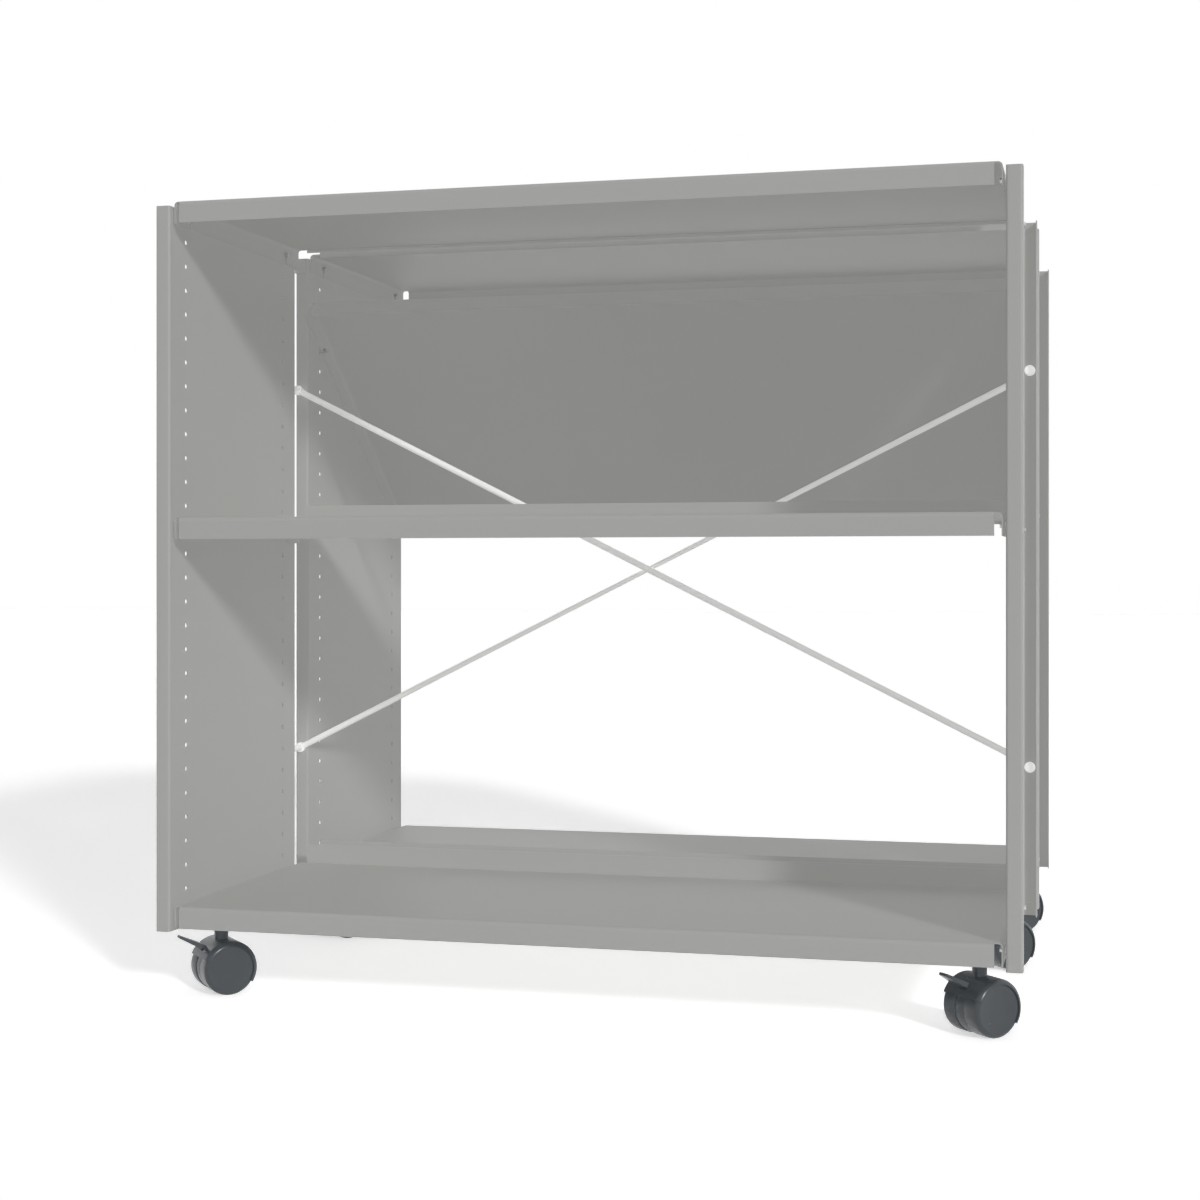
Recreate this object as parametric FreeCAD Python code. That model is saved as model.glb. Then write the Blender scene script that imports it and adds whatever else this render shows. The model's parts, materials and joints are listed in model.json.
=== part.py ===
import FreeCAD, Part
import math
import os

from FreeCAD import Vector

# A double-faced sheet-steel bookcase on swivel castors, in millimetres.
# +X is to the right of someone facing the front bay, +Y towards the back bay, +Z up.
# The origin lies on the floor, under the centre of the footprint.

# ---- overall sizes ----
overall_length = 1000.0        # over the outer flanges of the uprights
bay_depth = 350.0              # each bay, front to back
bay_gap = 41.0                 # open space between the two bays
upright_height = 850.0
floor_clearance = 82.0         # floor to the foot of the uprights

# ---- uprights: lipped channels folded from sheet, open to the outside ----
sheet = 1.2
upright_flange = 18.0
upright_lip = 16.0
upright_bend = 3.0             # outer radius of the folds

# ---- peg holes and pegs ----
peg_rows = 30
first_peg = 16.4               # lowest hole above the upright's foot
last_peg = 8.55                # highest hole below the upright's top
peg_setback = 41.0             # hole column to the edge of the bay
peg_dia = 5.8
peg_play = 0.1                 # radial, in the holes
peg_outside = 5.0              # how far a peg stands out of the upright
peg_inside = 4.0               # how far it reaches past the shelf's side flange
peg_collar_dia = 9.0
collar_play = 0.2

# ---- shelves: trays folded from sheet ----
shelf_side_play = 3.4          # shelf to upright web, each side
shelf_apron = 25.5
shelf_bend = 5.0
apron_cutback = 8.6            # the apron stops short of the side flanges
shelf_seat = 13.5              # peg centre to the top of the shelf
slot_play = 0.1                # radial, between a peg and the slot that sits on it
stop_height = 25.0             # book stop, a strip welded along the inner edge
stop_hem = 5.0                 # how far the strip reaches below the shelf's face
stop_cutback = 14.0
top_shelf_rows = 29            # peg rows below the one that carries it
middle_shelf_rows = 16
bottom_shelf_rows = 0

# ---- display shelf: a slope that faces the back ----
display_upper_rows = 25        # peg rows below its upper and its lower pegs
display_lower_rows = 17
display_seat = 20.4            # line through the pegs to the panel, square to it
display_overhang = 1.0         # how far the panel reaches into the gap
display_fold = 25.0            # stiffening fold along the upper edge
display_flange = 25.0
display_lip = 32.0             # upright lip that holds the books
display_bend = 2.5

# ---- cross brace in the gap ----
brace_half_height = 243.5      # bolt height above and below mid-height
brace_rod_dia = 8.2
brace_waist_dia = 5.8          # the rear rod is drawn thinner where the two cross
brace_rod_play = 0.3
eye_dia = 13.0
eye_thickness = 5.0
bolt_dia = 6.0
bolt_play = 0.2                # radial, in its holes
bolt_head_dia = 13.4
bolt_head_height = 3.6
bolt_dome = 2.4
bolt_tail = 2.0
nut_flats = 10.0
nut_height = 5.0
sleeve_dia = 8.6

# ---- spacer clips that join the bays at top and bottom ----
clip_width = 12.0
clip_height = 17.0
clip_wall = 1.5
clip_end_gap = 4.0             # clip to the end of the upright
rivet_dia = 4.0
rivet_head_dia = 7.0
rivet_head_height = 1.0

# ---- castors ----
castor_side_inset = 50.0       # swivel axis to the outer face
castor_front_inset = 68.0      # front row to the front face
castor_middle_inset = 39.0     # middle row to the inner edge of the back bay
castor_back_inset = 47.0       # back row to the rear face
castor_turn = -45.0            # how all the castors stand, in degrees
castor_trail = 2.0
wheel_dia = 62.0
wheel_width = 21.6
wheel_round = 5.0              # outer rim
wheel_face = 4.0               # solid face outside the bore
wheel_side_play = 0.4
hood_play = 0.7
hood_wall = 1.6
hood_lip = 3.2                 # how far the hood's rounded ends reach in over the wheels
hood_start = -33.0             # degrees, on the side away from the pedal
hood_end = 156.0
web_thickness = 14.4
web_dia = 60.6
axle_dia = 8.0
axle_play = 0.05
axle_end_play = 0.5
neck_dia = 16.4
neck_play = 0.3                # top of the neck to the socket
stem_dia = 8.0
stem_play = 0.05
stem_reach = 42.0              # length of stem inside the neck
stem_end_play = 1.0
socket_dia = 20.0
socket_height = 8.0
mount_size = 48.0
mount_corner = 4.0
mount_thickness = 3.0

# ---- brake pedals ----
pedal_pivot_back = 13.0        # pivot, towards the pedal from the swivel axis
pedal_pivot_height = 51.0
pedal_pin_dia = 4.0
pedal_pin_play = 0.05
pedal_boss_dia = 9.0
pedal_arm_width = 9.6
pedal_slot_play = 0.4
pedal_rise = 27.0              # degrees above level when released
pedal_travel = 12.0            # degrees down to the locked position
pedal_thickness = 4.2          # of its arm
pedal_root_thickness = 6.0
pedal_tip_thickness = 3.0
pedal_root_width = 26.0
pedal_tip_width = 14.0
pedal_tip_round = 3.0
pedal_wing_start = 27.0        # where the wide part begins, from the swivel axis
pedal_reach = 52.0             # swivel axis to the pedal's tip

# ---- places worked out from the sizes above ----
half_length = overall_length / 2
half_gap = bay_gap / 2
outer_face = half_gap + bay_depth
web_face = half_length - upright_flange
upright_foot = floor_clearance
upright_top = upright_foot + upright_height
mid_height = upright_foot + upright_height / 2
shelf_half = web_face - shelf_side_play
apron_half = shelf_half - apron_cutback
flange_mid = half_length - upright_flange / 2
peg_pitch = (upright_height - first_peg - last_peg) / (peg_rows - 1)
near_pegs = -outer_face + peg_setback
far_pegs = -half_gap - peg_setback
bolt_hole_dia = bolt_dia + 2 * bolt_play
rear_rod_y = half_gap - brace_rod_dia / 2 - brace_rod_play
front_rod_y = rear_rod_y - brace_rod_dia - brace_rod_play
axle_height = wheel_dia / 2
castor_half = web_thickness / 2 + wheel_side_play + wheel_width
hood_inner_dia = wheel_dia + 2 * hood_play
hood_half = castor_half + hood_play + hood_wall
OVERSHOOT = 1.0                # how far a cutting tool runs past what it cuts


def peg_height(row):
    return upright_foot + first_peg + row * peg_pitch


shelf_under = peg_height(bottom_shelf_rows) + shelf_seat - sheet
socket_bottom = shelf_under - mount_thickness - socket_height
neck_top = socket_bottom - neck_play


# ---- small helpers ----
def box(x0, x1, y0, y1, z0, z1):
    return Part.makeBox(x1 - x0, y1 - y0, z1 - z0, Vector(x0, y0, z0))


def rod_x(x0, x1, y, z, dia):
    return Part.makeCylinder(dia / 2, x1 - x0, Vector(x0, y, z), Vector(1, 0, 0))


def rod_y(x, y0, y1, z, dia):
    return Part.makeCylinder(dia / 2, y1 - y0, Vector(x, y0, z), Vector(0, 1, 0))


def rod_z(x, y, z0, z1, dia):
    return Part.makeCylinder(dia / 2, z1 - z0, Vector(x, y, z0), Vector(0, 0, 1))


def ring_y(x, y0, y1, z, dia, hole):
    return rod_y(x, y0, y1, z, dia).cut(rod_y(x, y0 - OVERSHOOT, y1 + OVERSHOOT, z, hole))


def flip_x(shape):
    return shape.mirror(Vector(0, 0, 0), Vector(1, 0, 0))


def flip_y(shape):
    return shape.mirror(Vector(0, 0, 0), Vector(0, 1, 0))


def near(a, b):
    return abs(a - b) < 1e-6


def round_edges(solid, radius, direction, wanted):
    """Fillet the straight edges along direction whose two ends both satisfy wanted."""
    chosen = []
    for edge in solid.Edges:
        if len(edge.Vertexes) < 2:
            continue
        ends = [vertex.Point for vertex in edge.Vertexes]
        along = near((ends[1] - ends[0]).cross(direction).Length, 0)
        if along and all(wanted(point) for point in ends):
            chosen.append(edge)
    return solid.makeFillet(radius, chosen)


def round_rims(solid, radius, wanted):
    """Fillet the circular edges whose centre satisfies wanted."""
    rims = [edge for edge in solid.Edges
            if edge.Curve.TypeId == "Part::GeomCircle" and wanted(edge.Curve.Center)]
    return solid.makeFillet(radius, rims)


def prism_x(points, x0, x1):
    """A flat outline of (y, z) points, extruded from x0 to x1."""
    loop = [Vector(x0, y, z) for y, z in points]
    face = Part.Face(Part.makePolygon(loop + loop[:1]))
    return face.extrude(Vector(x1 - x0, 0, 0))


# ---- uprights ----
def rounded_column(x0, x1, y0, y1, radius):
    column = box(x0, x1, y0, y1, upright_foot, upright_top)
    return round_edges(column, radius, Vector(0, 0, 1), lambda point: True)


def brace_heights():
    return (mid_height - brace_half_height, mid_height + brace_half_height)


def clip_heights():
    """The undersides of the lower and the upper clips."""
    return (upright_foot + clip_end_gap, upright_top - clip_end_gap - clip_height)


def make_upright():
    """The right-hand upright of the front bay."""
    front = -outer_face
    back = -half_gap
    shell = rounded_column(web_face, half_length, front, back, upright_bend)
    hollow = rounded_column(web_face + sheet, half_length - sheet, front + sheet, back - sheet,
                            upright_bend - sheet)
    mouth = box(half_length - 2 * sheet, half_length + OVERSHOOT,
                front + upright_lip, back - upright_lip, upright_foot, upright_top)
    holes = []
    for row in range(peg_rows):
        for y in (near_pegs, far_pegs):
            holes.append(rod_x(web_face - OVERSHOOT, web_face + sheet + OVERSHOOT, y,
                               peg_height(row), peg_dia + 2 * peg_play))
    for z in brace_heights():
        holes.append(rod_y(flange_mid, back - 2 * sheet, back + OVERSHOOT, z, bolt_hole_dia))
    for z in clip_heights():
        holes.append(rod_y(flange_mid, back - 2 * sheet, back + OVERSHOOT, z + clip_height / 2,
                           rivet_dia))
    return shell.cut(hollow).cut(mouth).cut(Part.makeCompound(holes))


# ---- shelves ----
def make_shelf(row):
    """A shelf of the front bay: apron in front, side flanges, book stop at the inner edge."""
    top = peg_height(row) + shelf_seat
    bottom = top - shelf_apron
    front = -outer_face
    back = -half_gap
    under = top - sheet
    inner_half = shelf_half - sheet
    inner_bend = shelf_bend - sheet
    lengthways = Vector(1, 0, 0)
    crossways = Vector(0, 1, 0)
    tray = box(-shelf_half, shelf_half, front + shelf_bend, back, bottom, top)
    tray = round_edges(tray, shelf_bend, crossways, lambda p: near(p.z, top))
    hollow = box(-inner_half, inner_half, front, back + OVERSHOOT, bottom - OVERSHOOT, under)
    hollow = round_edges(hollow, inner_bend, crossways, lambda p: near(p.z, under))
    apron = box(-apron_half, apron_half, front, front + 2 * shelf_bend, bottom, top)
    apron = round_edges(apron, shelf_bend, lengthways, lambda p: near(p.z, top) and near(p.y, front))
    behind = box(-apron_half - OVERSHOOT, apron_half + OVERSHOOT, front + sheet, back,
                 bottom - OVERSHOOT, under)
    behind = round_edges(behind, inner_bend, lengthways,
                         lambda p: near(p.z, under) and near(p.y, front + sheet))
    stop_half = shelf_half - stop_cutback
    stop = box(-stop_half, stop_half, back - sheet, back, top - stop_hem, top + stop_height)
    tray = tray.cut(hollow).fuse(apron.cut(behind)).cut(stop).cut(peg_slots(row, row))
    return Part.makeCompound([tray.removeSplitter(), stop])


def peg_slots(near_row, far_row):
    """Slots, open below, by which a shelf of the front bay sits on its four pegs."""
    slots = []
    width = peg_dia + 2 * slot_play
    for y, row in ((near_pegs, near_row), (far_pegs, far_row)):
        z = peg_height(row)
        for side in (-1, 1):
            x0 = side * shelf_half - 2 * sheet
            x1 = side * shelf_half + 2 * sheet
            slots.append(rod_x(x0, x1, y, z, width))
            slots.append(box(x0, x1, y - width / 2, y + width / 2, z - 2 * shelf_apron, z))
    return Part.makeCompound(slots)


def make_peg(side, y, z):
    x0 = side * (shelf_half - sheet - peg_inside)
    x1 = side * (web_face + sheet + peg_outside)
    pin = rod_x(min(x0, x1), max(x0, x1), y, z, peg_dia)
    c0 = side * (shelf_half + collar_play)
    c1 = side * web_face
    return pin.fuse(rod_x(min(c0, c1), max(c0, c1), y, z, peg_collar_dia))


def shelf_pegs(rows):
    """Pegs of the front bay; rows lists (row at the outer column, row at the inner column)."""
    pegs = []
    for near_row, far_row in rows:
        for side in (-1, 1):
            pegs.append(make_peg(side, near_pegs, peg_height(near_row)))
            pegs.append(make_peg(side, far_pegs, peg_height(far_row)))
    return Part.makeCompound(pegs)


# ---- display shelf, made for a front bay and then turned to the back ----
def slope():
    """Unit vectors up the panel and square to it, and a point of its upper face."""
    low_peg = Vector(0, near_pegs, peg_height(display_lower_rows))
    high_peg = Vector(0, far_pegs, peg_height(display_upper_rows))
    along = (high_peg - low_peg).normalize()
    square = Vector(0, -along.z, along.y)
    return along, square, low_peg + square * display_seat


def slope_prism(low, high, drop, half_width, bend, along):
    """A slab under the line from low to high, its two long upper edges rounded."""
    corners = [low, high, high - drop, low - drop]
    slab = prism_x([(p.y, p.z) for p in corners], -half_width, half_width)
    square = Vector(0, -along.z, along.y)
    return round_edges(slab, bend, along, lambda p: near((p - low).dot(square), 0))


def folded_strip(path, path_radius, back_radius):
    """A folded sheet that lies to the right of a path of three points."""
    runs = [(b - a).normalize() for a, b in zip(path, path[1:])]
    n1, n2 = [Vector(0, run.z, -run.y) for run in runs]
    corner = path[1] + (n1 + n2) * (sheet / (1 + n1.dot(n2)))
    back = [path[0] + n1 * sheet, corner, path[2] + n2 * sheet]
    strip = prism_x([(p.y, p.z) for p in path + back[::-1]], -apron_half, apron_half)
    for point, radius in ((path[1], path_radius), (corner, back_radius)):
        strip = round_edges(strip, radius, Vector(1, 0, 0),
                            lambda p: near(p.y, point.y) and near(p.z, point.z))
    return strip


def make_display_shelf():
    along, square, seat = slope()
    foot = seat + along * ((-outer_face + sheet - seat.y) / along.y)
    head = seat + along * ((-half_gap + display_overhang - seat.y) / along.y)
    low = foot + along * display_bend
    high = head - along * display_bend
    past = along * display_bend
    inner_bend = display_bend - sheet
    tray = slope_prism(low, high, square * display_flange, shelf_half, shelf_bend, along)
    hollow = slope_prism(low - past - square * sheet, high + past - square * sheet,
                         square * display_flange, shelf_half - sheet, shelf_bend - sheet, along)
    lip = folded_strip([foot + Vector(0, 0, display_lip), foot, low + past], inner_bend, display_bend)
    fold = folded_strip([high - past, head, head - square * display_fold], display_bend, inner_bend)
    shelf = tray.cut(hollow).fuse(lip).fuse(fold)
    return shelf.cut(peg_slots(display_lower_rows, display_upper_rows)).removeSplitter()


# ---- cross brace ----
def tapered(point, direction, length, dia, end_dia):
    if near(dia, end_dia):
        return Part.makeCylinder(dia / 2, length, point, direction)
    return Part.makeCone(dia / 2, end_dia / 2, length, point, direction)


def brace_corners(rise):
    """(x, z) of the two eyes of a rod that climbs (1) or falls (-1) to the right."""
    return ((-flange_mid, mid_height - rise * brace_half_height),
            (flange_mid, mid_height + rise * brace_half_height))


def make_brace_rod(y, rise, waist_dia):
    (x0, z0), (x1, z1) = brace_corners(rise)
    start = Vector(x0, y, z0)
    end = Vector(x1, y, z1)
    run = (end - start).normalize()
    trim = sleeve_dia / 2 + brace_rod_play
    half = (end - start).Length / 2 - trim
    rod = tapered(start + run * trim, run, half, brace_rod_dia, waist_dia)
    rod = rod.fuse(tapered(end - run * trim, run * -1, half, brace_rod_dia, waist_dia))
    for x, z in ((x0, z0), (x1, z1)):
        rod = rod.fuse(ring_y(x, y - eye_thickness / 2, y + eye_thickness / 2, z, eye_dia,
                              bolt_hole_dia))
    return rod.removeSplitter()


def make_brace_sleeves():
    sleeves = []
    for y, rise in ((front_rod_y, -1), (rear_rod_y, 1)):
        for x, z in brace_corners(rise):
            sleeves.append(ring_y(x, -half_gap, y - eye_thickness / 2, z, sleeve_dia, bolt_hole_dia))
            sleeves.append(ring_y(x, y + eye_thickness / 2, half_gap, z, sleeve_dia, bolt_hole_dia))
    return Part.makeCompound(sleeves)


def make_bolt(x, z):
    """Dome head in front, shank through both bays' flanges."""
    seat = -half_gap - sheet
    crown = seat - bolt_head_height
    head = rod_y(x, crown, seat, z, bolt_head_dia)
    head = round_rims(head, bolt_dome, lambda centre: near(centre.y, crown))
    return head.fuse(rod_y(x, seat, half_gap + sheet + nut_height + bolt_tail, z, bolt_dia))


def make_nut(x, z):
    seat = half_gap + sheet
    radius = nut_flats / math.sqrt(3)
    turns = [math.radians(60 * side) for side in range(6)]
    corners = [Vector(x + radius * math.cos(t), seat, z + radius * math.sin(t)) for t in turns]
    blank = Part.Face(Part.makePolygon(corners + corners[:1])).extrude(Vector(0, nut_height, 0))
    return blank.cut(rod_y(x, seat - OVERSHOOT, seat + nut_height + OVERSHOOT, z, bolt_dia))


def at_brace_corners(make):
    return Part.makeCompound([make(x, z) for rise in (-1, 1) for x, z in brace_corners(rise)])


# ---- spacer clips ----
def make_clip(z):
    """The right-hand clip whose lower face is at z, open to the outside."""
    x0 = flange_mid - clip_width / 2
    x1 = flange_mid + clip_width / 2
    clip = box(x0, x1, -half_gap, half_gap, z, z + clip_height)
    pocket = box(x0 + clip_wall, x1 + OVERSHOOT, -half_gap + clip_wall, half_gap - clip_wall,
                 z + clip_wall, z + clip_height - clip_wall)
    hole = rod_y(flange_mid, -half_gap - OVERSHOOT, half_gap + OVERSHOOT, z + clip_height / 2,
                 rivet_dia)
    return clip.cut(pocket).cut(hole)


def make_rivet(z):
    """A rivet through the front bay's flange and the clip's end wall."""
    grip0 = -half_gap - sheet
    grip1 = -half_gap + clip_wall
    middle = z + clip_height / 2
    rivet = rod_y(flange_mid, grip0, grip1, middle, rivet_dia)
    rivet = rivet.fuse(rod_y(flange_mid, grip0 - rivet_head_height, grip0, middle, rivet_head_dia))
    return rivet.fuse(rod_y(flange_mid, grip1, grip1 + rivet_head_height, middle, rivet_head_dia))


def both_sides(shapes):
    return Part.makeCompound(shapes + [flip_x(shape) for shape in shapes])


def make_rivets():
    rivets = [make_rivet(z) for z in clip_heights()]
    return both_sides(rivets + [flip_y(rivet) for rivet in rivets])


# ---- castors: local X runs along the axle, the pedal points to local -Y ----
def hub_disc(x0, x1, dia):
    return rod_x(x0, x1, castor_trail, axle_height, dia)


def make_wheel(side):
    inner = castor_half - wheel_width
    wheel = hub_disc(inner, castor_half, wheel_dia)
    wheel = round_rims(wheel, wheel_round, lambda centre: near(centre.x, castor_half))
    bore = hub_disc(inner - OVERSHOOT, castor_half - wheel_face, axle_dia + 2 * axle_play)
    wheel = wheel.cut(bore)
    return wheel if side > 0 else flip_x(wheel)


def make_axle():
    half = castor_half - wheel_face - axle_end_play
    return hub_disc(-half, half, axle_dia)


def hood_wedge():
    """A wide wedge about the hub that keeps the hood's share of a full round."""
    steps = 8
    reach = 2 * wheel_dia
    points = [(castor_trail, axle_height)]
    for step in range(steps + 1):
        angle = math.radians(hood_start + (hood_end - hood_start) * step / steps)
        points.append((castor_trail + reach * math.cos(angle), axle_height + reach * math.sin(angle)))
    return prism_x(points, -hood_half - OVERSHOOT, hood_half + OVERSHOOT)


def wheel_drum(grow):
    """The outline of both wheels together, larger by grow all round."""
    half = castor_half + grow
    return round_rims(hub_disc(-half, half, wheel_dia + 2 * grow), wheel_round + grow,
                      lambda centre: True)


def at_pedal_pivot(shape):
    shape.translate(Vector(0, -pedal_pivot_back, pedal_pivot_height))
    return shape


def tilted(shape, degrees):
    """Raise a shape that points to -Y about the X axis."""
    shape.rotate(Vector(0, 0, 0), Vector(1, 0, 0), -degrees)
    return shape


def pedal_pocket():
    """Room in the housing for the pedal's boss and its arm, from released to locked."""
    half_width = pedal_arm_width / 2 + pedal_slot_play
    half = pedal_thickness / 2 + pedal_slot_play
    pocket = rod_x(-half_width, half_width, 0, 0, pedal_boss_dia + 2 * pedal_slot_play)
    for share in (0, 0.5, 1):
        sweep = box(-half_width, half_width, -wheel_dia, 0, -half, half)
        pocket = pocket.fuse(tilted(sweep, pedal_rise - share * pedal_travel))
    return at_pedal_pivot(pocket)


def make_brake_pin():
    half = web_thickness / 2
    return at_pedal_pivot(rod_x(-half, half, 0, 0, pedal_pin_dia))


def make_housing(braked):
    wedge = hood_wedge()
    web_half = web_thickness / 2
    hood = wheel_drum(hood_play + hood_wall).cut(wheel_drum(hood_play))
    hood = hood.cut(hub_disc(-hood_half - OVERSHOOT, hood_half + OVERSHOOT, wheel_dia - 2 * hood_lip))
    fin = hub_disc(-web_half, web_half, hood_inner_dia + hood_wall)
    web = hub_disc(-web_half, web_half, web_dia)
    neck = rod_z(0, 0, axle_height + web_dia / 2, neck_top, neck_dia)
    neck = neck.cut(hub_disc(-neck_dia, neck_dia, hood_inner_dia + hood_wall))
    housing = hood.common(wedge).fuse(fin.common(wedge)).fuse(web).fuse(neck)
    bore_bottom = neck_top - stem_reach - stem_end_play
    housing = housing.cut(rod_z(0, 0, bore_bottom, neck_top + OVERSHOOT, stem_dia + 2 * stem_play))
    housing = housing.cut(hub_disc(-web_half - OVERSHOOT, web_half + OVERSHOOT, axle_dia))
    if braked:
        housing = housing.cut(pedal_pocket()).cut(make_brake_pin())
    return housing.removeSplitter()


def make_pedal():
    level = math.cos(math.radians(pedal_rise))
    wing_from = (pedal_wing_start - pedal_pivot_back) / level
    wing_to = (pedal_reach - pedal_pivot_back) / level
    half = pedal_thickness / 2
    root = pedal_root_thickness / 2
    tip = pedal_tip_thickness / 2
    arm_half = pedal_arm_width / 2
    arm = box(-arm_half, arm_half, -wing_from - OVERSHOOT, 0, -half, half)
    boss = rod_x(-arm_half, arm_half, 0, 0, pedal_boss_dia)
    corners = [Vector(-pedal_root_width / 2, -wing_from, -root),
               Vector(pedal_root_width / 2, -wing_from, -root),
               Vector(pedal_tip_width / 2, -wing_to, -root),
               Vector(-pedal_tip_width / 2, -wing_to, -root)]
    wing = Part.Face(Part.makePolygon(corners + corners[:1]))
    wing = wing.extrude(Vector(0, 0, pedal_root_thickness))
    wing = round_edges(wing, pedal_tip_round, Vector(0, 0, 1), lambda p: near(p.y, -wing_to))
    wedge = [(-wing_from, -root), (-wing_from, root), (-wing_to, tip), (-wing_to, -tip)]
    wing = wing.common(prism_x(wedge, -pedal_root_width, pedal_root_width))
    pedal = arm.fuse(boss).fuse(wing).removeSplitter()
    hole = rod_x(-arm_half - OVERSHOOT, arm_half + OVERSHOOT, 0, 0,
                 pedal_pin_dia + 2 * pedal_pin_play)
    return at_pedal_pivot(tilted(pedal.cut(hole), pedal_rise))


def castor_places():
    """Name, x, y and whether it has a brake, for each castor."""
    rows = (("front", -outer_face + castor_front_inset, True),
            ("middle", half_gap + castor_middle_inset, False),
            ("back", outer_face - castor_back_inset, True))
    x = half_length - castor_side_inset
    return [(row + "_" + side + "_castor", sign * x, y, braked)
            for row, y, braked in rows for side, sign in (("left", -1), ("right", 1))]


def make_castor_mount(x, y):
    """A plate under the bottom shelf with a socket for the castor's stem."""
    half = mount_size / 2
    plate_bottom = shelf_under - mount_thickness
    plate = box(x - half, x + half, y - half, y + half, plate_bottom, shelf_under)
    plate = round_edges(plate, mount_corner, Vector(0, 0, 1), lambda point: True)
    socket = rod_z(x, y, socket_bottom, plate_bottom, socket_dia)
    bore = rod_z(x, y, socket_bottom - OVERSHOOT, shelf_under + OVERSHOOT, stem_dia)
    return plate.fuse(socket).cut(bore)


def make_castor_stem(x, y):
    return rod_z(x, y, neck_top - stem_reach, shelf_under, stem_dia)


def set_in_place(shape, x, y):
    placed = shape.copy()
    placed.rotate(Vector(0, 0, 0), Vector(0, 0, 1), castor_turn)
    placed.translate(Vector(x, y, 0))
    return placed


def castor_nodes():
    nodes = {}
    for name, x, y, braked in castor_places():
        pieces = {"_housing": make_housing(braked), "_axle": make_axle(),
                  "_left_wheel": make_wheel(-1), "_right_wheel": make_wheel(1)}
        if braked:
            pieces["_brake_pedal"] = make_pedal()
            pieces["_brake_pin"] = make_brake_pin()
        for suffix, shape in pieces.items():
            nodes[name + suffix] = set_in_place(shape, x, y)
    return nodes


# ---- the whole bookcase ----
def frame_nodes():
    upright = make_upright()
    top_shelf = make_shelf(top_shelf_rows)
    bottom_shelf = make_shelf(bottom_shelf_rows)
    low_rows = (bottom_shelf_rows, bottom_shelf_rows)
    high_rows = (top_shelf_rows, top_shelf_rows)
    places = [(x, y) for name, x, y, braked in castor_places()]
    return {
        "front_right_upright": upright,
        "front_left_upright": flip_x(upright),
        "back_right_upright": flip_y(upright),
        "back_left_upright": flip_x(flip_y(upright)),
        "front_top_shelf": top_shelf,
        "front_middle_shelf": make_shelf(middle_shelf_rows),
        "front_bottom_shelf": bottom_shelf,
        "back_top_shelf": flip_y(top_shelf),
        "back_bottom_shelf": flip_y(bottom_shelf),
        "display_shelf": flip_y(make_display_shelf()),
        "front_shelf_pegs": shelf_pegs([low_rows, (middle_shelf_rows, middle_shelf_rows), high_rows]),
        "back_shelf_pegs": flip_y(shelf_pegs([low_rows, (display_lower_rows, display_upper_rows),
                                              high_rows])),
        "front_brace_rod": make_brace_rod(front_rod_y, -1, brace_rod_dia),
        "rear_brace_rod": make_brace_rod(rear_rod_y, 1, brace_waist_dia),
        "brace_sleeves": make_brace_sleeves(),
        "brace_bolts": at_brace_corners(make_bolt),
        "brace_nuts": at_brace_corners(make_nut),
        "spacer_clips": both_sides([make_clip(z) for z in clip_heights()]),
        "clip_rivets": make_rivets(),
        "castor_mounts": Part.makeCompound([make_castor_mount(x, y) for x, y in places]),
        "castor_stems": Part.makeCompound([make_castor_stem(x, y) for x, y in places]),
    }


def main():
    os.makedirs("parts", exist_ok=True)
    nodes = frame_nodes()
    nodes.update(castor_nodes())
    for name, shape in nodes.items():
        shape.exportStep("parts/" + name + ".step")


main()
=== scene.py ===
import json
import math

import bmesh
import bpy
from mathutils import Matrix, Vector


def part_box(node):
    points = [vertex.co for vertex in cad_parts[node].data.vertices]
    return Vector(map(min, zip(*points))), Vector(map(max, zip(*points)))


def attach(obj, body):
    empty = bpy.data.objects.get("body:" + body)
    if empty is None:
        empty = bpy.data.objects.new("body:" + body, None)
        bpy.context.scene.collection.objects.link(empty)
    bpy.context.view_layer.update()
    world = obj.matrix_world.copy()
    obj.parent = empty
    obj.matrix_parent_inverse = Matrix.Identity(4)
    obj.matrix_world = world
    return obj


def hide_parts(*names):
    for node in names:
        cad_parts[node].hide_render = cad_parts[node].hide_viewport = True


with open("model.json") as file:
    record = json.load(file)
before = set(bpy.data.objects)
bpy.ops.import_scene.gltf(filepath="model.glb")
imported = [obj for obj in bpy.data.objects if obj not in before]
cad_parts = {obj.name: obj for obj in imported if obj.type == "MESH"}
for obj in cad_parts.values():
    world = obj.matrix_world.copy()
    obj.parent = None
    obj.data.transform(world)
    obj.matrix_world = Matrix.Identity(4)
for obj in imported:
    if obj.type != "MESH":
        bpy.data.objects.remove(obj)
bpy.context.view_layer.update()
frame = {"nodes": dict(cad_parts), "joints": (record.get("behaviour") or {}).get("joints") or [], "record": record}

# A double-sided steel bookcase on castors, in metres. +X is to the right of someone who
# faces the front bay, +Y goes towards the back bay, and the floor is at z = 0.


# ---------- shader sums ----------
# A Mix node has its sockets once for each kind of value. These are the ones for colours.
MIX_COLOUR_A = 6
MIX_COLOUR_B = 7
MIX_COLOUR_RESULT = 2


class Wire:
    """A node's output. Sums on it add Math nodes to its finish."""

    def __init__(self, finish, socket):
        self.finish = finish
        self.socket = socket

    def math(self, operation, *values):
        return self.finish.node("ShaderNodeMath", {"operation": operation}, dict(enumerate(values)))

    def __add__(self, other):
        return self.math("ADD", self, other)

    def __mul__(self, other):
        return self.math("MULTIPLY", self, other)

    __radd__ = __add__
    __rmul__ = __mul__

    def between(self, low, high):
        """0 at low, 1 at high, smooth in between."""
        settings = {"interpolation_type": "SMOOTHSTEP"}
        return self.finish.node("ShaderNodeMapRange", settings, {0: self, 1: low, 2: high})


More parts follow.
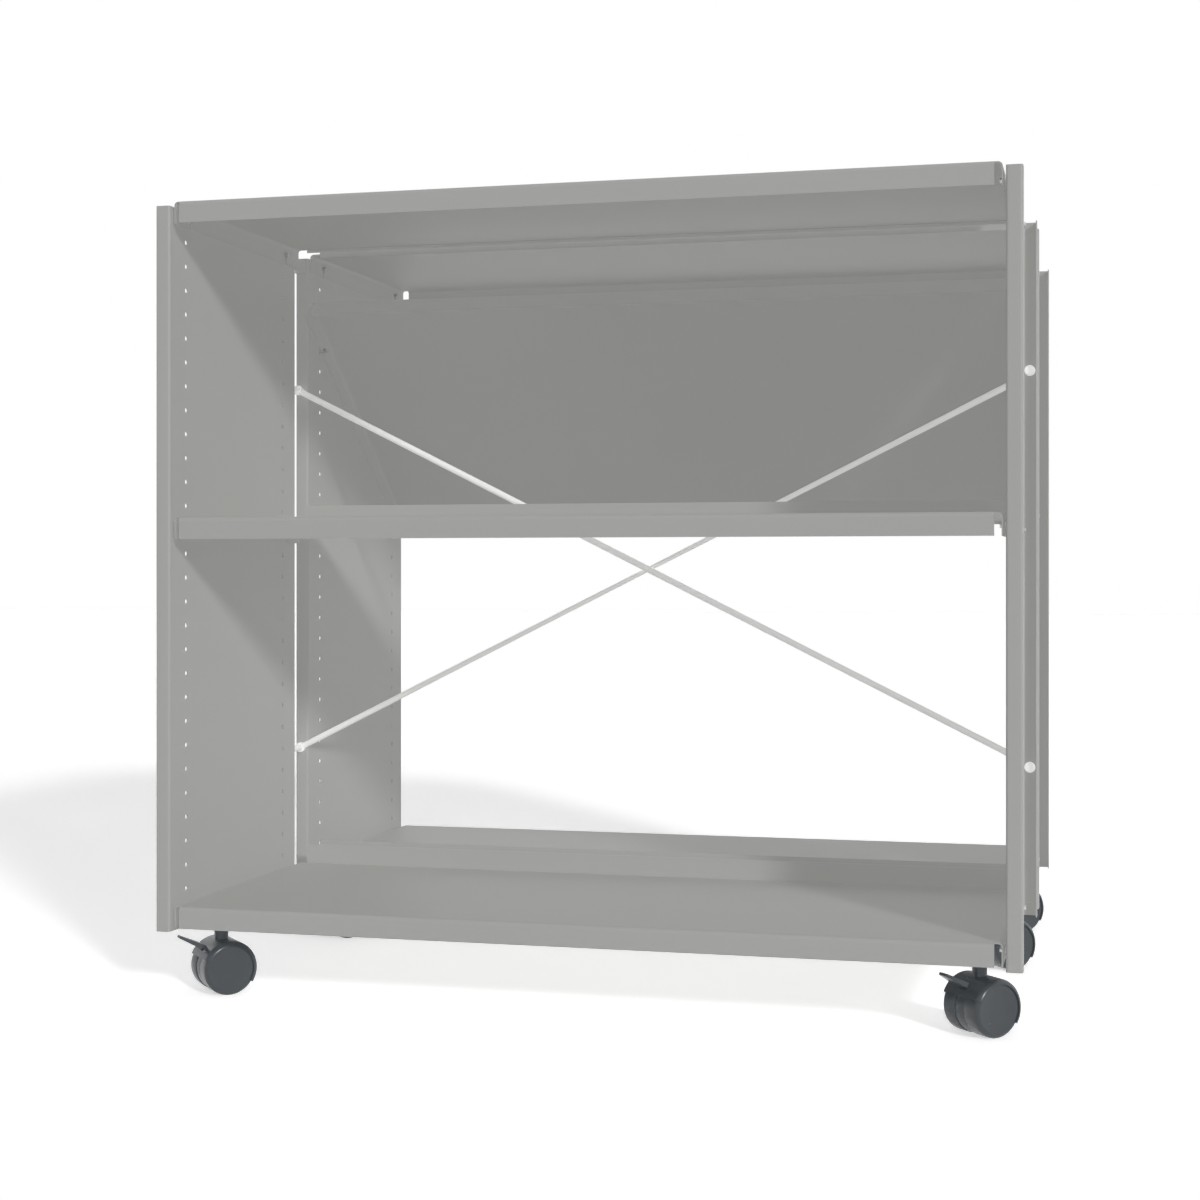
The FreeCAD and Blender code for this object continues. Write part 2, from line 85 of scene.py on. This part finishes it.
class Finish:
    """A procedural material on Object coordinates."""

    def __init__(self, name, **constants):
        self.material = bpy.data.materials.new(name)
        self.material.use_nodes = True
        self.tree = self.material.node_tree
        self.shader = self.tree.nodes["Principled BSDF"]
        for socket, value in constants.items():
            self.shader.inputs[socket.replace("_", " ")].default_value = value
        self.place = self.node("ShaderNodeTexCoord", {}, {}, "Object")

    def node(self, kind, settings, inputs, output=0):
        """A node of any kind, with its settings first and then its values or links."""
        made = self.tree.nodes.new(kind)
        for name, value in settings.items():
            setattr(made, name, value)
        for name, value in inputs.items():
            if isinstance(value, Wire):
                self.tree.links.new(value.socket, made.inputs[name])
            else:
                made.inputs[name].default_value = value
        return Wire(self, made.outputs[output])

    def stretched(self, x, y, z):
        """Coordinates on which a pattern is pressed together that much, or drawn out if under 1."""
        return self.node("ShaderNodeMapping", {}, {"Vector": self.place, "Scale": (x, y, z)})

    def noise(self, scale, detail=2.0, roughness=0.5, place=None):
        """Noise from 0 to 1, with about scale blots to a metre."""
        inputs = {"Vector": place or self.place, "Scale": scale, "Detail": detail, "Roughness": roughness}
        return self.node("ShaderNodeTexNoise", {}, inputs)

    def tint(self, amount, low, high):
        """A colour between low and high."""
        inputs = {"Factor": amount, MIX_COLOUR_A: (*low, 1), MIX_COLOUR_B: (*high, 1)}
        return self.node("ShaderNodeMix", {"data_type": "RGBA"}, inputs, MIX_COLOUR_RESULT)

    def set(self, socket, wire):
        self.tree.links.new(wire.socket, self.shader.inputs[socket])

    def bump(self, height, distance):
        """Relief; distance is how high, in metres, a height of 1 stands."""
        inputs = {"Height": height, "Distance": distance, "Strength": 1.0}
        self.set("Normal", self.node("ShaderNodeBump", {}, inputs))


def linear(red, green, blue):
    """Linear colour of an 8-bit screen colour."""
    return tuple(((v / 255 + 0.055) / 1.055) ** 2.4 for v in (red, green, blue))


def lighter(colour, share):
    return tuple(v * (1 + share) for v in colour)


# ---------- finishes ----------
def powder_coat(name, colour, roughness):
    """Powder coat with a fine pebble, faint clouds and fine specks."""
    coat = Finish(name, IOR=1.45, Specular_IOR_Level=0.5)
    clouds = coat.noise(2.6, 3.0)
    specks = coat.noise(900.0, 2.0, 0.6)
    tone = clouds * 0.65 + specks * 0.35
    coat.set("Base Color", coat.tint(tone, lighter(colour, -0.05), lighter(colour, 0.05)))
    coat.set("Roughness", roughness - 0.05 + 0.07 * clouds + 0.06 * specks)
    coat.bump(coat.noise(420.0, 1.0) + 0.3 * specks, 0.00006)
    return coat.material


def zinc(name):
    """Zinc plating with a fine spangle and faint drawn lines."""
    plate = Finish(name, Metallic=1.0)
    lines = plate.noise(160.0, 2.0, 0.5, plate.stretched(1, 1, 14))
    spangle = plate.noise(240.0, 3.0)
    plate.set("Base Color", plate.tint(spangle, linear(206, 208, 209), linear(232, 233, 232)))
    plate.set("Roughness", 0.28 + 0.12 * lines + 0.08 * spangle)
    plate.bump(lines, 0.00003)
    return plate.material


def moulded_plastic(name, colour, roughness):
    """Glossy moulded plastic with a faint flow pattern, a fine grain and light scuffs."""
    plastic = Finish(name, IOR=1.5, Specular_IOR_Level=0.4)
    flow = plastic.noise(34.0, 3.0, 0.55, plastic.stretched(1, 1, 0.5))
    grain = plastic.noise(1100.0, 1.0)
    scuffs = plastic.noise(90.0, 3.0, 0.6).between(0.5, 0.8)
    tone = 0.7 * flow + 0.15 * grain + 0.15 * scuffs
    plastic.set("Base Color", plastic.tint(tone, lighter(colour, -0.07), lighter(colour, 0.07)))
    plastic.set("Roughness", roughness + 0.05 * flow + 0.04 * scuffs)
    plastic.bump(0.6 * flow + 0.1 * grain, 0.00002)
    return plastic.material


grey_coat = powder_coat("grey powder coat", linear(162, 162, 160), 0.54)
white_coat = powder_coat("off-white powder coat", linear(233, 233, 231), 0.40)
white_cap = powder_coat("white cap", linear(250, 250, 249), 0.22)
bright_zinc = zinc("bright zinc")
dark_plastic = moulded_plastic("dark castor plastic", linear(64, 69, 73), 0.22)

finish_of_slot = {
    "painted_steel": grey_coat,
    "light_steel": white_coat,
    "zinc_steel": bright_zinc,
    "castor_plastic": dark_plastic,
}

# The bolts of the cross brace are whiter than its rods.
finish_of_node = {"brace_bolts": white_cap}


def dress_nodes():
    for part in frame["record"]["subparts"]:
        mesh = frame["nodes"][part["node"]].data
        mesh.materials.clear()
        mesh.materials.append(finish_of_node.get(part["node"], finish_of_slot[part["material_slot"]]))


dress_nodes()


# ---------- modelling by hand ----------
SAME_CORNER = 0.000002             # corners closer than this are joined
SAME_FACE = math.radians(0.4)      # faces that meet at less than this are joined
SHARP_EDGE = math.radians(38)      # edges that turn by more than this are rounded
SMOOTH_EDGE = math.radians(35)     # edges that turn by less than this are shaded smooth


def start_piece(name):
    """Names the new primitive and leaves its object at the origin, with its place in its mesh."""
    piece = bpy.context.object
    piece.name = name
    bpy.ops.object.transform_apply(location=True, rotation=True, scale=True)
    return piece


def pick(kind, wanted):
    """In edit mode, selects only the faces or edges that are wanted."""
    bpy.ops.mesh.select_mode(type=kind)
    bpy.ops.mesh.select_all(action="DESELECT")
    mesh = bmesh.from_edit_mesh(bpy.context.object.data)
    for part in mesh.faces if kind == "FACE" else mesh.edges:
        part.select_set(wanted(part))
    bmesh.update_edit_mesh(bpy.context.object.data)


def finish_piece(piece, material):
    bpy.ops.object.mode_set(mode="OBJECT")
    bpy.ops.object.shade_smooth_by_angle(angle=SMOOTH_EDGE)
    piece.data.materials.clear()
    piece.data.materials.append(material)
    bpy.ops.object.select_all(action="DESELECT")


def softened(node, width):
    """A copy of a CAD node with its sharp edges rounded."""
    mesh = frame["nodes"][node].data.copy()
    piece = bpy.data.objects.new(node + ".soft", mesh)
    bpy.context.scene.collection.objects.link(piece)
    bpy.ops.object.select_all(action="DESELECT")
    piece.select_set(True)
    bpy.context.view_layer.objects.active = piece
    bpy.ops.object.mode_set(mode="EDIT")
    bpy.ops.mesh.select_all(action="SELECT")
    bpy.ops.mesh.remove_doubles(threshold=SAME_CORNER)
    bpy.ops.mesh.dissolve_limited(angle_limit=SAME_FACE)
    bpy.ops.object.mode_set(mode="OBJECT")
    bpy.ops.object.modifier_add(type="BEVEL")
    bevel = piece.modifiers[-1]
    bevel.width = width
    bevel.segments = 3
    bevel.limit_method = "ANGLE"
    bevel.angle_limit = SHARP_EDGE
    bpy.ops.object.modifier_apply(modifier=bevel.name)
    return piece


def twin(piece, name, move):
    """A copy with its own mesh, moved by a matrix."""
    mesh = piece.data.copy()
    mesh.transform(move)
    copy = bpy.data.objects.new(name, mesh)
    bpy.context.scene.collection.objects.link(copy)
    return copy


# ---------- castors ----------
AXLE = Vector((math.sqrt(0.5), -math.sqrt(0.5), 0))    # towards the right wheel, on every castor
WHEEL_RADIUS = 0.031
WHEEL_INNER_FACE = 0.0076          # from the middle of the axle
WHEEL_OUTER_FACE = 0.0292
WHEEL_ROUND = 0.0050               # the shoulder between the tread and the outer face
WHEEL_BORE = 0.00405               # its radius
WHEEL_FACE_WALL = 0.0040           # between the end of the bore and the outer face
WHEEL_BACK_RIM = 0.0030            # the raised ring round the inner face
WHEEL_BACK_STEP = 0.0006           # down from that ring to the recessed inner face
WHEEL_BACK_ROUND = 0.0005
WHEEL_DISH_EDGE = 0.0006           # the slope round the dished middle of the outer face
WHEEL_DISH_DEPTH = 0.0002
WHEEL_SIDES = 96
CLOSE = 0.0001                     # a corner within this of a face lies on it
FACING = 0.99                      # a normal whose cosine with a direction is over this faces that way
SOFT_EDGES = {"_housing": 0.0005, "_brake_pedal": 0.0007}    # how wide their edges are rounded
CASTORS = [joint["child"] for joint in frame["joints"] if joint["name"].endswith("_swivel")]


def hub_of(castor):
    low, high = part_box(castor + "_axle")
    return (Vector(low) + Vector(high)) / 2


def make_wheel(hub):
    """The right wheel of the castor at hub: a round shoulder, a plain face and a bored back."""
    def along(vert):
        return (vert.co - hub).dot(AXLE)

    def on_rim(edge, face):
        return all(abs(along(v) - face) < CLOSE and (v.co - hub).cross(AXLE).length > WHEEL_RADIUS - 2 * CLOSE
                   for v in edge.verts)

    width = WHEEL_OUTER_FACE - WHEEL_INNER_FACE
    middle = hub + AXLE * (WHEEL_INNER_FACE + width / 2)
    recess = WHEEL_RADIUS - WHEEL_BACK_RIM - WHEEL_BACK_STEP
    bpy.ops.object.select_all(action="DESELECT")
    along_axle = AXLE.to_track_quat("Z", "Y").to_euler()
    bpy.ops.mesh.primitive_cylinder_add(vertices=WHEEL_SIDES, radius=WHEEL_RADIUS, depth=width,
                                        location=middle, rotation=along_axle)
    wheel = start_piece("wheel")
    bpy.ops.object.mode_set(mode="EDIT")
    pick("FACE", lambda face: face.normal.dot(AXLE) < -FACING)
    bpy.ops.mesh.inset(thickness=WHEEL_BACK_RIM, depth=0)
    bpy.ops.mesh.inset(thickness=WHEEL_BACK_STEP, depth=-WHEEL_BACK_STEP)
    bpy.ops.mesh.inset(thickness=recess - WHEEL_BORE, depth=0)
    bore_depth = width - WHEEL_FACE_WALL - WHEEL_BACK_STEP
    bpy.ops.mesh.extrude_region_move(TRANSFORM_OT_translate={"value": AXLE * bore_depth})
    pick("EDGE", lambda edge: on_rim(edge, WHEEL_OUTER_FACE))
    bpy.ops.mesh.bevel(offset=WHEEL_ROUND, segments=8, affect="EDGES")
    pick("EDGE", lambda edge: on_rim(edge, WHEEL_INNER_FACE))
    bpy.ops.mesh.bevel(offset=WHEEL_BACK_ROUND, segments=2, affect="EDGES")
    # The outer face alone, because the last strips of the shoulder face almost the same way.
    pick("FACE", lambda face: face.normal.dot(AXLE) > FACING and len(face.verts) > 8)
    bpy.ops.mesh.inset(thickness=WHEEL_DISH_EDGE, depth=-WHEEL_DISH_DEPTH)
    finish_piece(wheel, dark_plastic)
    return wheel


def dress_castors():
    """Two wheels for each castor, made from one, and its housing and pedal with soft edges."""
    first_hub = hub_of(CASTORS[0])
    model_wheel = make_wheel(first_hub)
    turn = Matrix.Translation(first_hub) @ Matrix.Rotation(math.pi, 4, "Z") @ Matrix.Translation(-first_hub)
    for castor in CASTORS:
        shift = Matrix.Translation(hub_of(castor) - first_hub)
        for side, move in (("right", shift), ("left", shift @ turn)):
            node = castor + "_" + side + "_wheel"
            wheel = twin(model_wheel, node + ".turned", move)
            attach(wheel, node)
            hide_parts(node)
        for suffix, width in SOFT_EDGES.items():
            node = castor + suffix
            if node in frame["nodes"]:
                piece = softened(node, width)
                finish_piece(piece, dark_plastic)
                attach(piece, castor if suffix == "_housing" else node)
                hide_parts(node)
    bpy.data.objects.remove(model_wheel)


dress_castors()


# ---------- floor, light and camera ----------
FLOOR_SIZE = 40
FLOOR_WHITE = 1.39                 # as it is seen, so that lit floor reads as white and its shadow as grey
FLOOR_BOUNCE = 0.35                # as it throws light back on the object
ROOM_LIGHT = 0.17                  # the room as it lights the object; it is seen and mirrored as 1
KEY_LIGHT = 1.18
KEY_WAY = (-0.88, 1.0, -0.575)
KEY_SPREAD = 6                     # this and the other spreads are in degrees
FILL_LEVEL = 0.356                 # the mean of the two halves of the soft dome
FILL_LEAN = 0.12                   # how much more the front half has, and how much less the back half
FILL_WAY = Vector((-0.66, 0.66, 0.02))
FILL_SPREAD = 180
BACK_LIGHT = 0.3
BACK_WAY = (0.6, -0.8, 0)
CEILING_LIGHT = 0.055
LAMP_SPREAD = 10
CAMERA_PLACE = (0.600, -2.4077, 0.5049)
CAMERA_HEADING = 13.53             # degrees to the left of +Y
SENSOR_WIDTH = 36.0                # this and the lens are in millimetres
LENS = 57.3
LENS_SHIFT = (-0.0513, -0.0245)


def seen_or_mirrored(tree):
    """1 for camera, glossy and transmission rays, 0 for the rays that light things.

    A mirrored ray that has scattered before only lights things, so it gets 0 too.
    """
    ray = tree.nodes.new("ShaderNodeLightPath")
    total = ray.outputs["Is Camera Ray"]
    for name in ("Is Glossy Ray", "Is Transmission Ray"):
        either = tree.nodes.new("ShaderNodeMath")
        either.operation = "MAXIMUM"
        tree.links.new(total, either.inputs[0])
        tree.links.new(ray.outputs[name], either.inputs[1])
        total = either.outputs[0]
    direct = tree.nodes.new("ShaderNodeMath")
    direct.operation = "SUBTRACT"
    direct.use_clamp = True
    tree.links.new(total, direct.inputs[0])
    tree.links.new(ray.outputs["Diffuse Depth"], direct.inputs[1])
    return direct.outputs[0]


def make_floor():
    """A white paper floor that throws only a little light back up."""
    bpy.ops.object.select_all(action="DESELECT")
    bpy.ops.mesh.primitive_plane_add(size=FLOOR_SIZE, location=(0, 0, 0))
    floor = bpy.context.object
    floor.name = "floor"
    paper = bpy.data.materials.new("white floor")
    paper.use_nodes = True
    tree = paper.node_tree
    tree.nodes.remove(tree.nodes["Principled BSDF"])
    choice = tree.nodes.new("ShaderNodeMixShader")
    tree.links.new(seen_or_mirrored(tree), choice.inputs[0])
    for place, level in ((1, FLOOR_BOUNCE), (2, FLOOR_WHITE)):
        shade = tree.nodes.new("ShaderNodeBsdfDiffuse")
        shade.inputs["Color"].default_value = (level, level, level, 1)
        tree.links.new(shade.outputs[0], choice.inputs[place])
    tree.links.new(choice.outputs[0], tree.nodes["Material Output"].inputs["Surface"])
    floor.data.materials.append(paper)


def light_the_room():
    """A white room that is bright where it is seen or mirrored and lights the object only a little."""
    world = bpy.data.worlds.new("room")
    bpy.context.scene.world = world
    world.use_nodes = True
    tree = world.node_tree
    tree.nodes.clear()
    strength = tree.nodes.new("ShaderNodeMapRange")
    strength.inputs["To Min"].default_value = ROOM_LIGHT
    strength.inputs["To Max"].default_value = 1.0
    tree.links.new(seen_or_mirrored(tree), strength.inputs["Value"])
    sky = tree.nodes.new("ShaderNodeBackground")
    sky.inputs["Color"].default_value = (1, 1, 1, 1)
    tree.links.new(strength.outputs[0], sky.inputs["Strength"])
    out = tree.nodes.new("ShaderNodeOutputWorld")
    tree.links.new(sky.outputs[0], out.inputs["Surface"])


def add_sun(name, way, strength, spread, shadows=True):
    """A sun whose light travels along way. Without shadows it isn't mirrored either."""
    sun = bpy.data.lights.new(name, "SUN")
    sun.energy = strength
    sun.angle = math.radians(spread)
    sun.use_shadow = shadows
    sun.cycles.use_multiple_importance_sampling = shadows
    lamp = bpy.data.objects.new(name, sun)
    lamp.rotation_euler = Vector(way).to_track_quat("-Z", "Y").to_euler()
    lamp.visible_glossy = shadows
    bpy.context.scene.collection.objects.link(lamp)


def hang_the_lights():
    """One window light with shadows, and shadowless ones that even the light out.

    Their levels are times pi, the strength at which a narrow sun lights a white face to 1.
    """
    add_sun("window light", KEY_WAY, KEY_LIGHT, KEY_SPREAD)
    # Two halves of a wide soft dome, a little stronger from the front on the right.
    front_fill = math.pi * (FILL_LEVEL + FILL_LEAN)
    back_fill = math.pi * (FILL_LEVEL - FILL_LEAN)
    add_sun("soft light from in front", FILL_WAY, front_fill, FILL_SPREAD, shadows=False)
    add_sun("soft light from behind", -FILL_WAY, back_fill, FILL_SPREAD, shadows=False)
    # The back and the left side, which the window light doesn't reach, and the tops.
    add_sun("light on the back", BACK_WAY, math.pi * BACK_LIGHT, LAMP_SPREAD, shadows=False)
    add_sun("ceiling light", (0, 0, -1), math.pi * CEILING_LIGHT, LAMP_SPREAD, shadows=False)


def place_camera():
    lens = bpy.data.cameras.new("camera")
    lens.sensor_width = SENSOR_WIDTH
    lens.lens = LENS
    lens.shift_x, lens.shift_y = LENS_SHIFT
    lens.clip_end = 60.0
    camera = bpy.data.objects.new("camera", lens)
    camera.location = CAMERA_PLACE
    camera.rotation_euler = (math.radians(90), 0, math.radians(CAMERA_HEADING))
    bpy.context.scene.collection.objects.link(camera)
    bpy.context.scene.camera = camera


make_floor()
light_the_room()
hang_the_lights()
place_camera()
bpy.context.scene.view_settings.view_transform = "Standard"
